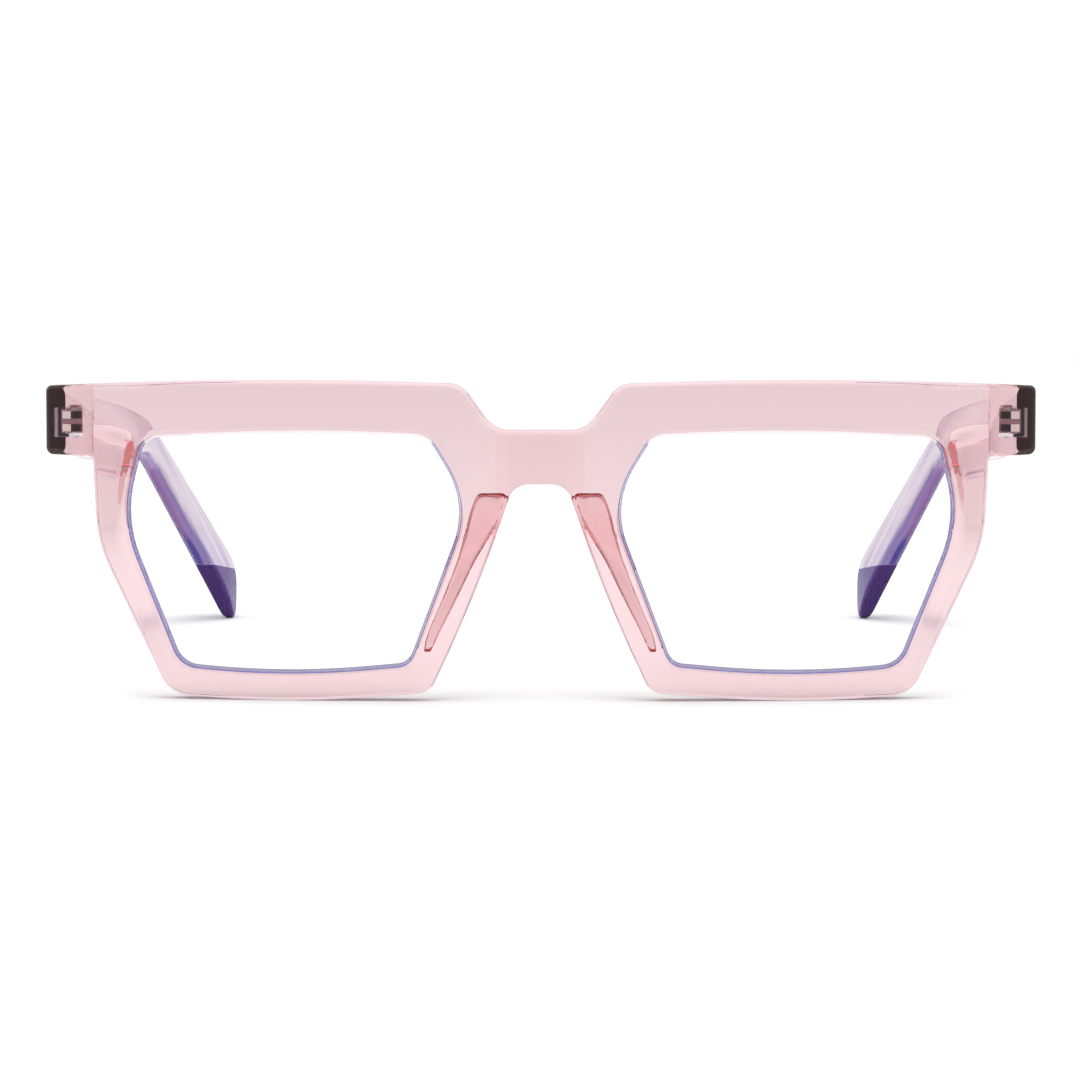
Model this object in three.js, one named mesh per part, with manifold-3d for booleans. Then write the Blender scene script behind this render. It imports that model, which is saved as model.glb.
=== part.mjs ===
// Blue light glasses with a thick angular acetate front: a straight browline, six-sided lens
// openings, bonded nose pads, sunk three-barrel hinges, and wire-cored temples whose coloured
// tips lean inwards behind the ears.
// Millimetres. +X is the wearer's left, +Y runs back along the temples and +Z is up.
// The glasses stand open on their rims and temple tips, and the origin is on that surface,
// under the middle of the whole frame. Each piece is first made with the bridge's front at y = 0.

import * as THREE from "three";
import { mergeVertices } from "three/addons/utils/BufferGeometryUtils.js";
import Module from "manifold-3d";

const wasm = await Module();
wasm.setup();

// Driving dimensions of the front.
const BEND_RADIUS = 380; // the front wraps round the face on this radius
const FRONT_THICKNESS = 4.2;
const HALF_WIDTH = 71.15;
const HINGE_BLOCK_BACK = 11.6; // y of the face that the temple butts against
const HINGE_BLOCK_INNER = 65; // x of that block's inner side, at its back

// Driving dimensions of the lenses, measured from the front's outer face.
const LENS_FRONT = 1.2;
const LENS_THICKNESS = 1.9;
const BEVEL_FRONT = 1.55; // the lens edge's tongue, which sits in the rim's groove
const BEVEL_THICKNESS = 1.2;
const BEVEL_REACH = 0.6; // how far the tongue passes the edge of the opening
const GROOVE_REACH = 0.8;
const GROOVE_CLEARANCE = 0.1; // on each side of the tongue
const LENS_CLEARANCE = 0.12; // between the lens and the edge of the opening

// Driving dimensions of the temples.
const TEMPLE_THICKNESS = 3.6;
const TEMPLE_INNER = 68.4; // x of the inner face at the hinge, where the temple is thinner
const TEMPLE_BUTT = HINGE_BLOCK_BACK + 0.1;
const THINNING = { from: 27, to: 46 }; // the y range over which it comes to full thickness
const LEAN_DIRECTION = new THREE.Vector2(0.26, -0.99).normalize(); // in (y, z)
const LEAN_START = -6.8; // distance along that direction where the temple leans inwards
const LEAN_RADIUS = 16.7;
const LEAN_ANGLE = THREE.MathUtils.degToRad(17.6);
const TIP_LINE = { y: 137, z: 9.6, slope: -0.11 }; // where the coloured tip begins
const TIP_JOINT = 0.1;

// Driving dimensions of the core wires, with the distance from the temple's outer face.
const WIRE_DEPTH = 0.75;
const WIRE_THICKNESS = 1;
const WIRE_CLEARANCE = 0.08;

// Driving dimensions of the hinges.
const PIN = { x: 66.9, y: 12.9, radius: 0.55 };
const PIN_CLEARANCE = 0.1;
const KNUCKLE_RADIUS = 1.15;
const KNUCKLE_RECESS = 1.6; // radius cleared in the temple round the knuckles
const HINGE_Z = [38, 41.4];
const CENTRE_KNUCKLE_Z = [39.03, 40.37];
const KNUCKLE_GAP = 0.08;

// Outline corners as [x, z, radius]. The front's are its +X half, from the bridge's top edge
// round the browline, hinge block and rim to the arch over the nose.
const FRONT_CORNERS = [
  [6.45, 38.65, 4.3],
  [11.2, 45.25, 3.7],
  [38, 46.1, 630],
  [HALF_WIDTH, 44.9, 0.9],
  [HALF_WIDTH, 35, 1.1],
  [64.3, 34.75, 0.8],
  [63.75, 22.4, 20],
  [53.25, 0.65, 4.7],
  [37, -0.43, 164],
  [15.7, 1.1, 3.6],
  [8.8, 16, 225],
  [3.75, 30.95, 3],
];
const LENS_CORNERS = [
  [15.9, 38.05, 3.6],
  [34.5, 38.9, 297],
  [57.1, 37.7, 3.2],
  [60.1, 25.7, 18],
  [51.6, 4.75, 4],
  [36.5, 3.4, 130],
  [18.6, 5.1, 2.8],
  [9.9, 28.15, 12.6],
];

// The temple's side view, as [y, z, radius], from the top of its butt end.
const TEMPLE_CORNERS = [
  [TEMPLE_BUTT, 44.4, 0.3],
  [114.5, 36.8, 28],
  [152, 8.3, 3.9],
  [142.1, -2.22, 4.9],
  [109.5, 31.1, 14],
  [38, 32.2, 380],
  [TEMPLE_BUTT, 35.15, 0.3],
];

// The core wire's side view, in the same way.
const WIRE_CORNERS = [
  [12.2, 41, 0.2],
  [112.7, 35, 20],
  [136.7, 12, 0.6],
  [135.2, 10.4, 0.6],
  [111.3, 32.8, 18],
  [12.2, 38.8, 0.2],
];

// ---- Outlines ----------------------------------------------------------------------------

const ARC_STEP = THREE.MathUtils.degToRad(13);
const ARC_LEAST = 4;

/** Points of a closed outline whose corners are rounded, from [x, y, radius] corners. */
function roundCorners(corners) {
  return corners.flatMap(([x, y, radius], i) => {
    const corner = new THREE.Vector2(x, y);
    const before = new THREE.Vector2(...corners.at(i - 1)).sub(corner).normalize();
    const after = new THREE.Vector2(...corners[(i + 1) % corners.length]).sub(corner).normalize();
    const half = Math.acos(before.dot(after)) / 2;
    const inwards = before.clone().add(after).normalize();
    const centre = corner.clone().addScaledVector(inwards, radius / Math.sin(half));
    const start = corner.clone().addScaledVector(before, radius / Math.tan(half)).sub(centre);
    const turn = (Math.PI - 2 * half) * -Math.sign(before.cross(after));
    const steps = Math.max(ARC_LEAST, Math.ceil(Math.abs(turn) / ARC_STEP));
    return Array.from({ length: steps + 1 }, (_, k) =>
      start.clone().rotateAround(new THREE.Vector2(), (turn * k) / steps).add(centre),
    );
  });
}

/** The same corners moved outwards by a distance. Corners run clockwise. */
function offsetCorners(corners, distance) {
  const points = corners.map(([x, y]) => new THREE.Vector2(x, y));
  return corners.map(([, , radius], i) => {
    const incoming = points[i].clone().sub(points.at(i - 1)).normalize();
    const outgoing = points[(i + 1) % points.length].clone().sub(points[i]).normalize();
    const left = ({ x, y }) => new THREE.Vector2(-y, x);
    const diagonal = left(incoming).add(left(outgoing));
    const moved = diagonal.multiplyScalar((2 * distance) / diagonal.lengthSq()).add(points[i]);
    const convex = incoming.cross(outgoing) < 0;
    return [moved.x, moved.y, convex ? radius + distance : radius - distance];
  });
}

/** Both halves of an outline, from the corners of its +X half. */
function bothHalves(corners) {
  return [...corners, ...corners.map(([x, z, radius]) => [-x, z, radius]).reverse()];
}

/** How far back the bend sets the front at x. */
function bendDepth(x) {
  return BEND_RADIUS - Math.sqrt(BEND_RADIUS ** 2 - x ** 2);
}

// ---- Solids --------------------------------------------------------------------------------

/** A closed geometry as a solid that can be cut and joined. */
function solidOf(geometry) {
  const bare = geometry.index ? geometry.toNonIndexed() : geometry.clone();
  bare.deleteAttribute("normal");
  bare.deleteAttribute("uv");
  const merged = mergeVertices(bare, 1e-4);
  const vertProperties = merged.attributes.position.array;
  const triVerts = new Uint32Array(merged.index.array);
  return new wasm.Manifold(new wasm.Mesh({ numProp: 3, vertProperties, triVerts }));
}

/** A solid back as a geometry. */
function geometryOf(solid) {
  const { vertProperties, triVerts } = solid.getMesh();
  const geometry = new THREE.BufferGeometry();
  geometry.setAttribute("position", new THREE.BufferAttribute(vertProperties, 3));
  geometry.setIndex(new THREE.BufferAttribute(triVerts, 1));
  geometry.computeVertexNormals();
  return geometry;
}

const X = new THREE.Vector3(1, 0, 0);
const Y = new THREE.Vector3(0, 1, 0);
const Z = new THREE.Vector3(0, 0, 1);

/** A prism from a flat outline. across and up are its plane's axes, and along runs out of it. */
function prism(points, from, to, across, up, along) {
  const geometry = new THREE.ExtrudeGeometry(new THREE.Shape(points), {
    depth: to - from,
    bevelEnabled: false,
  });
  geometry.translate(0, 0, from);
  geometry.applyMatrix4(new THREE.Matrix4().makeBasis(across, up, along));
  return solidOf(geometry);
}

// Outlines in (x, y), (y, z) and (x, z). The last runs forwards, so that it isn't mirrored.
const prismAlongZ = (points, from, to) => prism(points, from, to, X, Y, Z);
const prismAlongX = (points, from, to) => prism(points, from, to, Y, Z, X);
const prismAlongY = (points, from, to) => prism(points, -to, -from, X, Z, Y.clone().negate());

/** A plain block between two corners. */
function block([x0, y0, z0], [x1, y1, z1]) {
  const geometry = new THREE.BoxGeometry(x1 - x0, y1 - y0, z1 - z0);
  geometry.translate((x0 + x1) / 2, (y0 + y1) / 2, (z0 + z1) / 2);
  return solidOf(geometry);
}

/** An upright cylinder on the hinge's axis. */
function onHingeAxis(radius, from, to, sides = 20) {
  const geometry = new THREE.CylinderGeometry(radius, radius, to - from, sides);
  geometry.rotateX(Math.PI / 2);
  geometry.translate(PIN.x, PIN.y, (from + to) / 2);
  return solidOf(geometry);
}

const BEND_STEP = 5;
const SLAB_Z = [-2, 48];

/** A slab that follows the front's bend, between two depths behind its outer face. */
function bentSlab(fromX, toX, front, back) {
  const steps = Math.ceil((toX - fromX) / BEND_STEP);
  const at = (k, depth) => {
    const x = fromX + ((toX - fromX) * k) / steps;
    return new THREE.Vector2(x, bendDepth(x) + depth);
  };
  const places = Array.from({ length: steps + 1 }, (_, k) => k);
  const outer = places.map((k) => at(k, front));
  const inner = places.map((k) => at(k, back)).reverse();
  return prismAlongZ([...outer, ...inner], ...SLAB_Z);
}

// ---- The front -----------------------------------------------------------------------------

const MIRROR = new THREE.Matrix4().makeScale(-1, 1, 1);
const PAST = 30; // how far a cutting prism runs past what it cuts

/** A solid's mirror image in the plane x = 0. */
function mirrored(solid) {
  const geometry = geometryOf(solid).toNonIndexed();
  geometry.applyMatrix4(MIRROR);
  const { array } = geometry.attributes.position;
  for (let i = 0; i < array.length; i += 9) {
    const second = array.slice(i + 3, i + 6);
    array.copyWithin(i + 3, i + 6, i + 9);
    array.set(second, i + 6);
  }
  return solidOf(geometry);
}

const HINGE_POCKET = [
  [65.75, 7.4, 37.8],
  [69.9, HINGE_BLOCK_BACK + 1, 41.6],
];

/** The block behind each end of the front, which holds the hinge. */
function hingeBlock() {
  const outside = HALF_WIDTH + 1;
  const plan = [
    [HINGE_BLOCK_INNER - 2.6, bendDepth(HINGE_BLOCK_INNER) + FRONT_THICKNESS - 0.6],
    [HINGE_BLOCK_INNER, HINGE_BLOCK_BACK],
    [outside, HINGE_BLOCK_BACK],
    [outside, bendDepth(outside) + 1],
  ].map(([x, y]) => new THREE.Vector2(x, y));
  return prismAlongZ(plan, 34.9, 46);
}

/** The space that a lens and its rim's groove take out of the front. */
function lensSpace() {
  const opening = prismAlongY(roundCorners(LENS_CORNERS), -PAST, PAST);
  const reach = prismAlongY(roundCorners(offsetCorners(LENS_CORNERS, GROOVE_REACH)), -PAST, PAST);
  const front = BEVEL_FRONT - GROOVE_CLEARANCE;
  const back = BEVEL_FRONT + BEVEL_THICKNESS + GROOVE_CLEARANCE;
  return opening.add(bentSlab(5, 65, front, back).intersect(reach));
}

function frontFrame() {
  const outline = prismAlongY(roundCorners(bothHalves(FRONT_CORNERS)), -PAST, PAST);
  const ends = hingeBlock().add(mirrored(hingeBlock()));
  const cut = lensSpace().add(block(...HINGE_POCKET));
  return bentSlab(-HALF_WIDTH - 1, HALF_WIDTH + 1, 0, FRONT_THICKNESS)
    .add(ends)
    .intersect(outline)
    .subtract(cut)
    .subtract(mirrored(cut));
}

function lens() {
  const face = prismAlongY(roundCorners(offsetCorners(LENS_CORNERS, -LENS_CLEARANCE)), -PAST, PAST);
  const edge = prismAlongY(roundCorners(offsetCorners(LENS_CORNERS, BEVEL_REACH)), -PAST, PAST);
  const body = bentSlab(5, 65, LENS_FRONT, LENS_FRONT + LENS_THICKNESS).intersect(face);
  const tongue = bentSlab(5, 65, BEVEL_FRONT, BEVEL_FRONT + BEVEL_THICKNESS).intersect(edge);
  return body.add(tongue);
}

// A nose pad follows the nose side of the rim. Its section is [across the rim, back, radius],
// and its bearing face slopes outwards towards the wearer.
const PAD_LOW = new THREE.Vector2(12.75, 8.2);
const PAD_HIGH = new THREE.Vector2(5.35, 27.8);
const PAD_SECTION = [
  [0, -0.6, 0.2],
  [1.7, 4.7, 0.9],
  [3.2, 4.9, 0.9],
  [4.3, 2.6, 1.2],
  [4.5, -0.6, 0.2],
];
const PAD_END_ROUND = 2.1;
const BOND_LINE = 0.05;

function nosePad() {
  const run = PAD_HIGH.clone().sub(PAD_LOW);
  const half = run.length() / 2;
  const place = new THREE.Matrix4()
    .makeTranslation((PAD_LOW.x + PAD_HIGH.x) / 2, FRONT_THICKNESS, (PAD_LOW.y + PAD_HIGH.y) / 2)
    .multiply(new THREE.Matrix4().makeRotationY(Math.atan2(run.x, run.y)));
  const depth = { depth: 2 * half, bevelEnabled: false };
  const bar = new THREE.ExtrudeGeometry(new THREE.Shape(roundCorners(PAD_SECTION)), depth);
  bar.translate(0, 0, -half).applyMatrix4(place);
  const ends = [
    [-1, -half, PAD_END_ROUND],
    [-1, half, PAD_END_ROUND],
    [4.6, half, PAD_END_ROUND],
    [4.6, -half, PAD_END_ROUND],
  ];
  const plan = new THREE.ExtrudeGeometry(new THREE.Shape(roundCorners(ends)), {
    depth: 2 * PAST,
    bevelEnabled: false,
  });
  plan.rotateX(Math.PI / 2).translate(0, PAST, 0).applyMatrix4(place);
  return solidOf(bar)
    .intersect(solidOf(plan))
    .subtract(bentSlab(-20, 40, -PAST, FRONT_THICKNESS + BOND_LINE));
}

// ---- The temples ---------------------------------------------------------------------------

/** How far inwards the temple has leant, at a distance along the lean's direction. */
function leanAt(distance) {
  const past = Math.max(0, distance - LEAN_START);
  const arc = LEAN_RADIUS * Math.sin(LEAN_ANGLE);
  if (past <= arc) return LEAN_RADIUS - Math.sqrt(LEAN_RADIUS ** 2 - past ** 2);
  return LEAN_RADIUS * (1 - Math.cos(LEAN_ANGLE)) + (past - arc) * Math.tan(LEAN_ANGLE);
}

/** A wall that is upright along the straight part and leans inwards past the ear. */
function leaningWall(outerX, thickness) {
  const arc = LEAN_RADIUS * Math.sin(LEAN_ANGLE);
  const places = [-60, 0, 0.25, 0.5, 0.75, 1, 10].map((k) => LEAN_START + k * arc);
  const outer = places.map((at) => new THREE.Vector2(outerX - leanAt(at), at));
  const step = new THREE.Vector2(-thickness, 0);
  const inner = outer.map((point) => point.clone().add(step)).reverse();
  const along = new THREE.Vector3(0, LEAN_DIRECTION.x, LEAN_DIRECTION.y);
  return prism([...inner, ...outer], -40, 190, X, along, X.clone().cross(along));
}

/** The half-space above (1) or below (-1) the line where the coloured tip begins. */
function sideOfTipLine(side) {
  const height = (y) => TIP_LINE.z + TIP_LINE.slope * (y - TIP_LINE.y) + (side * TIP_JOINT) / 2;
  const far = side * 80;
  const corners = [
    [0, height(0)],
    [170, height(170)],
    [170, height(170) + far],
    [0, height(0) + far],
  ];
  const points = corners.map(([y, z]) => new THREE.Vector2(y, z));
  return prismAlongX(points, 40, 90);
}

/** What is shaved off the inner face towards the hinge. */
function thinning() {
  const fullInner = HALF_WIDTH - TEMPLE_THICKNESS;
  const plan = [
    [60, 10],
    [TEMPLE_INNER, 10],
    [TEMPLE_INNER, THINNING.from],
    [fullInner, THINNING.to],
    [60, THINNING.to],
  ].map(([x, y]) => new THREE.Vector2(x, y));
  return prismAlongZ(plan, 20, 50);
}

/** A side view cut out of a leaning wall. */
function alongTemple(corners, outerX, thickness) {
  return prismAlongX(roundCorners(corners), 40, 90).intersect(leaningWall(outerX, thickness));
}

function wholeTemple() {
  return alongTemple(TEMPLE_CORNERS, HALF_WIDTH, TEMPLE_THICKNESS).subtract(thinning());
}

/** The wire's channel, with a mouth at the butt end. */
function wireChannel() {
  const side = offsetCorners(WIRE_CORNERS, WIRE_CLEARANCE);
  const outer = HALF_WIDTH - WIRE_DEPTH + WIRE_CLEARANCE;
  const thickness = WIRE_THICKNESS + 2 * WIRE_CLEARANCE;
  const mouth = block([outer - thickness, TEMPLE_BUTT - 1, 38.7], [outer, 13.6, 41.1]);
  return alongTemple(side, outer, thickness).add(mouth);
}

function coreWire() {
  return alongTemple(WIRE_CORNERS, HALF_WIDTH - WIRE_DEPTH, WIRE_THICKNESS);
}

const PLATE_RECESS = [
  [TEMPLE_INNER - 2, TEMPLE_BUTT - 1, 37.8],
  [TEMPLE_INNER + 0.5, 22.9, 41.6],
];

function temple() {
  return wholeTemple()
    .intersect(sideOfTipLine(1))
    .subtract(wireChannel())
    .subtract(block(...PLATE_RECESS))
    .subtract(onHingeAxis(KNUCKLE_RECESS, 37.8, 41.6, 28));
}

function templeTip() {
  return wholeTemple().intersect(sideOfTipLine(-1));
}

// ---- The hinges ----------------------------------------------------------------------------

const BASE_PLATE = [
  [65.95, 10, HINGE_Z[0]],
  [69.2, 11.4, HINGE_Z[1]],
];
const ANCHOR_PLAN = [
  [66.25, 10.1],
  [66.25, 8.6],
  [67.55, 7.8],
  [68.85, 8.6],
  [68.85, 10.1],
].map(([x, y]) => new THREE.Vector2(x, y));
const ANCHOR_Z = [
  [38.25, 39.3],
  [40.1, 41.15],
];

/** The leaf sunk in the front: a base plate, two ridged anchors and the outer knuckles. */
function frontLeaf() {
  const [low, high] = HINGE_Z;
  const [centreLow, centreHigh] = CENTRE_KNUCKLE_Z;
  const knuckles = [
    [low, centreLow - KNUCKLE_GAP],
    [centreHigh + KNUCKLE_GAP, high],
  ];
  const base = ANCHOR_Z.reduce(
    (leaf, [from, to]) => leaf.add(prismAlongZ(ANCHOR_PLAN, from, to)),
    block(...BASE_PLATE),
  );
  return knuckles
    .reduce((leaf, [from, to]) => {
      const neck = block([PIN.x - 0.8, 11.1, from], [PIN.x + 0.8, PIN.y, to]);
      return leaf.add(neck).add(onHingeAxis(KNUCKLE_RADIUS, from, to));
    }, base)
    .subtract(onHingeAxis(PIN.radius + PIN_CLEARANCE, low - 1, high + 1));
}

/** The leaf let into the temple's inner face: a plate and the centre knuckle. */
function templeLeaf() {
  const [low, high] = CENTRE_KNUCKLE_Z;
  const inner = TEMPLE_INNER - 0.45;
  const outer = TEMPLE_INNER + 0.4;
  const plate = block([inner, 15.2, HINGE_Z[0]], [outer, 22.6, HINGE_Z[1]]);
  const arm = [
    [PIN.x - 0.7, PIN.y + 0.6],
    [PIN.x + 0.7, PIN.y - 0.6],
    [outer, 14.5],
    [outer, 15.6],
    [inner, 15.6],
  ].map(([x, y]) => new THREE.Vector2(x, y));
  return plate
    .add(prismAlongZ(arm, low, high))
    .add(onHingeAxis(KNUCKLE_RADIUS, low, high))
    .subtract(onHingeAxis(PIN.radius + PIN_CLEARANCE, low - 1, high + 1));
}

const SCREW_HEAD = { radius: 0.95, height: 0.55, lift: 0.05, slotWidth: 0.3, slotDepth: 0.28 };

function hingeScrew() {
  const seat = HINGE_Z[1] + SCREW_HEAD.lift;
  const top = seat + SCREW_HEAD.height;
  const slot = block(
    [PIN.x - 2, PIN.y - SCREW_HEAD.slotWidth / 2, top - SCREW_HEAD.slotDepth],
    [PIN.x + 2, PIN.y + SCREW_HEAD.slotWidth / 2, top + 1],
  );
  return onHingeAxis(PIN.radius, HINGE_Z[0] - 0.1, seat + 0.1)
    .add(onHingeAxis(SCREW_HEAD.radius, seat, top))
    .subtract(slot);
}

// ---- The assembly --------------------------------------------------------------------------

const PINK_ACETATE = { color: "#e9d2d8", roughness: 0.06, metalness: 0 };
const LILAC_ACETATE = { color: "#dccbe0", roughness: 0.07, metalness: 0 };
const PURPLE_ACETATE = { color: "#3f2166", roughness: 0.14, metalness: 0 };
const LENS_RESIN = { color: "#f2f4ff", roughness: 0.02, metalness: 0 };
const HINGE_METAL = { color: "#d9c9bd", roughness: 0.3, metalness: 1 };
const SCREW_METAL = { color: "#c9c2bb", roughness: 0.25, metalness: 1 };
const WIRE_METAL = { color: "#8f8aa8", roughness: 0.35, metalness: 1 };

function mesh(name, solid, finish) {
  const made = new THREE.Mesh(geometryOf(solid), new THREE.MeshStandardMaterial(finish));
  made.name = name;
  return made;
}

const glasses = new THREE.Group();
glasses.add(mesh("front_frame", frontFrame(), PINK_ACETATE));

const SIDE_PIECES = [
  ["lens", lens(), LENS_RESIN],
  ["nose_pad", nosePad(), PINK_ACETATE],
  ["hinge_front_leaf", frontLeaf(), HINGE_METAL],
  ["hinge_temple_leaf", templeLeaf(), HINGE_METAL],
  ["hinge_screw", hingeScrew(), SCREW_METAL],
  ["temple", temple(), LILAC_ACETATE],
  ["temple_tip", templeTip(), PURPLE_ACETATE],
  ["core_wire", coreWire(), WIRE_METAL],
];
for (const [name, solid, finish] of SIDE_PIECES) {
  glasses.add(mesh(`${name}_left`, solid, finish));
  const right = mesh(`${name}_right`, solid, finish);
  right.scale.x = -1;
  glasses.add(right);
}

// The origin goes under the middle of the whole frame.
const bounds = new THREE.Box3().setFromObject(glasses);
glasses.position.set(0, -(bounds.min.y + bounds.max.y) / 2, -bounds.min.z);

export default glasses;
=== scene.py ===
"""Blue light glasses with a see-through pink acetate front and lilac temples with purple tips.

The glasses stand open on their rims and temple tips, on a white table. Shapes are worked out in
millimetres, in the frame's own axes, with y = 0 at the front of the bridge, and are moved to the
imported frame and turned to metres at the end. The front is first made flat, where its thickness
runs along y, and is then bent round the face.
"""

import math

import bmesh
import bpy
from mathutils import Matrix, Vector, kdtree


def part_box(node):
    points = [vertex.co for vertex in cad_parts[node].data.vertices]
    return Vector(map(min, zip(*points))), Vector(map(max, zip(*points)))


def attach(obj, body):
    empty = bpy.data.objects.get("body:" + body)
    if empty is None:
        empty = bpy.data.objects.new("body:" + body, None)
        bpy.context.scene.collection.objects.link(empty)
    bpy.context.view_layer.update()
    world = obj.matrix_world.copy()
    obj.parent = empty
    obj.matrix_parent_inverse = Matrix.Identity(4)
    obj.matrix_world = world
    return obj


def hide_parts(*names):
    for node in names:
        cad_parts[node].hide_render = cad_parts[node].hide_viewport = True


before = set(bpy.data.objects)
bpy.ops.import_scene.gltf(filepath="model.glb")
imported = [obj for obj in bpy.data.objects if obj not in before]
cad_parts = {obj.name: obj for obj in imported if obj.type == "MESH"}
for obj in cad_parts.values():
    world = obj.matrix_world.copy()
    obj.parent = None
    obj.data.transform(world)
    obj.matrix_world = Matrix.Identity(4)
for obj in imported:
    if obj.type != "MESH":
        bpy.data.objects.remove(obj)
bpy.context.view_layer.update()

MM = 0.001

# The front, in millimetres.
BEND_RADIUS = 380.0
RIM_THICKNESS = 4.2
HALF_WIDTH = 71.15
BLOCK_BACK = 11.6
BLOCK_INNER = 64.5  # where the hinge block's inner wall stands, which is nearly upright
BLOCK_DRAFT = 0.15
BLOCK_LOW = 34.9
POCKET = {"depth": 1.3, "open_to": 20, "x": (65.75, 69.9), "z": (37.45, 41.7)}
FRONT_EDGE_ROUND = 0.5
BACK_EDGE_ROUND = 0.55
GROOVE = {"from": 1.45, "deepest": 2.15, "to": 2.85, "depth": 0.32}
LENS = {"front": 1.3, "back": 3.1, "gap": 0.05, "chamfer": 0.08}
# The tongue in the groove: its height, its room in the groove, and its slightly blunt point.
TONGUE = {"height": 0.22, "room": 0.05, "point_drop": 0.05, "point_half": 0.04}

# The temples, in millimetres.
TEMPLE_THICKNESS = 3.6
TEMPLE_BUTT = 11.7
BUTT_THICKNESS = 2.75
THINNING = (27.0, 46.0)
TEMPLE_EDGE_ROUND = 1.0
LEAN_DIRECTION = Vector((0.26, -0.99)).normalized()
LEAN_START = -6.8
LEAN_RADIUS = 16.7
LEAN_ANGLE = math.radians(17.6)
LEAN_SLICE = 1.2
ARM_SLICES = (15, 135, 4)  # from, to and step along the temple
TIP_TAPER = {"from": 25.5, "to": 38.0, "share": 0.62}  # down the drop; the inner face tapers
TIP_LINE = {"y": 137.0, "z": 9.6, "slope": -0.11}

# Outline corners as (x, z, radius), clockwise. The front's are its +X half.
FRONT_CORNERS = [
    (6.45, 38.65, 4.3),
    (11.2, 45.25, 3.7),
    (38, 46.1, 630),
    (HALF_WIDTH, 44.9, 0.9),
    (HALF_WIDTH, 35, 1.1),
    (64.3, 34.75, 0.8),
    (63.75, 22.4, 20),
    (53.25, 0.65, 4.7),
    (37, -0.43, 164),
    (15.7, 1.1, 3.6),
    (8.8, 16, 225),
    (3.75, 30.95, 3),
]
LENS_CORNERS = [
    (15.9, 38.05, 3.6),
    (34.5, 38.9, 297),
    (57.1, 37.7, 3.2),
    (60.1, 25.7, 18),
    (51.6, 4.75, 4),
    (36.5, 3.4, 130),
    (18.6, 5.1, 2.8),
    (9.9, 28.15, 12.6),
]
# The temple's side view as (y, z, radius). Its butt end is cut off square later.
TEMPLE_CORNERS = [
    (TEMPLE_BUTT - 4, 44.7, 0.5),
    (114.5, 36.8, 28),
    (152, 8.3, 3.9),
    (142.1, -2.22, 4.9),
    (109.5, 31.1, 14),
    (38, 32.2, 380),
    (TEMPLE_BUTT - 4, 35.65, 0.5),
]

# ---- Outlines ---------------------------------------------------------------------------------

ARC_STEP = math.radians(5)  # the most that an arc turns between two points
LEAST_ARC_STEPS = 5
SPACING = 1.5  # about how far apart points are where the outline is straight or nearly so
LEAST_RADIUS = 0.02


def cross(a, b):
    return a.x * b.y - a.y * b.x


def rounded(corners, offset=0.0):
    """Points of a rounded outline, moved outwards by offset, with the same count at any offset."""
    base = [Vector(c[:2]) for c in corners]
    count = len(base)
    spots, radii, steps, cut_offs = [], [], [], []
    for i, (_, _, radius) in enumerate(corners):
        to_here = (base[i] - base[i - 1]).normalized()
        onwards = (base[(i + 1) % count] - base[i]).normalized()
        diagonal = Vector((-to_here.y - onwards.y, to_here.x + onwards.x))
        spots.append(base[i] + diagonal * (2 * offset / diagonal.length_squared))
        grown = radius + offset if cross(to_here, onwards) < 0 else radius - offset
        radii.append(max(LEAST_RADIUS, grown))
        turn = to_here.angle(onwards)
        cut_offs.append(radius * math.tan(turn / 2))
        steps.append(math.ceil(max(LEAST_ARC_STEPS, turn / ARC_STEP, radius * turn / SPACING)))
    gaps = []
    for i, cut_off in enumerate(cut_offs):
        straight = (base[(i + 1) % count] - base[i]).length - cut_off - cut_offs[(i + 1) % count]
        gaps.append(max(1, round(straight / SPACING)))
    arcs = []
    for i, spot in enumerate(spots):
        before = (spots[i - 1] - spot).normalized()
        after = (spots[(i + 1) % count] - spot).normalized()
        half = before.angle(after) / 2
        centre = spot + (before + after).normalized() * radii[i] / math.sin(half)
        start = spot + before * radii[i] / math.tan(half) - centre
        sweep = -math.copysign(math.pi - 2 * half, cross(before, after))
        turns = [Matrix.Rotation(sweep * k / steps[i], 2) for k in range(steps[i] + 1)]
        arcs.append([centre + turn @ start for turn in turns])
    points = []
    for i, arc in enumerate(arcs):
        following = arcs[(i + 1) % count][0]
        points += arc
        points += [arc[-1].lerp(following, k / gaps[i]) for k in range(1, gaps[i])]
    return points


def both_halves(corners):
    return corners + [(-x, z, radius) for x, z, radius in reversed(corners)]


def quarter_round(radius, steps=4):
    """(inset, depth) pairs round an edge, from the face's side to the wall's."""
    turns = [math.pi / 2 * k / steps for k in range(steps + 1)]
    return [(radius * (1 - math.sin(turn)), radius * (1 - math.cos(turn))) for turn in turns]


def bend_depth(x):
    return BEND_RADIUS - math.sqrt(BEND_RADIUS**2 - x**2)


# ---- Mesh helpers -----------------------------------------------------------------------------

ON_PLANE = 1e-4  # how near a plane a vertex counts as on it
CLOSE = 0.005  # vertices nearer than this are merged
SHARP = math.radians(50)  # edges that turn more than this are shaded as sharp
LENS_SHARP = math.radians(30)
ROUNDED_ABOVE = math.radians(38)  # edges that turn less than this aren't rounded


def ring(bm, points):
    return [bm.verts.new(point) for point in points]


def wall(bm, rings):
    """Faces between rings that each go once round. Returns the first and last ring's edges."""
    count = len(rings[0])
    for one, other in zip(rings, rings[1:]):
        for i in range(count):
            j = (i + 1) % count
            bm.faces.new((one[i], one[j], other[j], other[i]))
    ends = []
    for end in (rings[0], rings[-1]):
        ends.append([bm.edges.get((end[i], end[(i + 1) % count])) for i in range(count)])
    return ends


def cap(bm, edges):
    bmesh.ops.triangle_fill(bm, use_beauty=True, use_dissolve=False, edges=edges)


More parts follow.
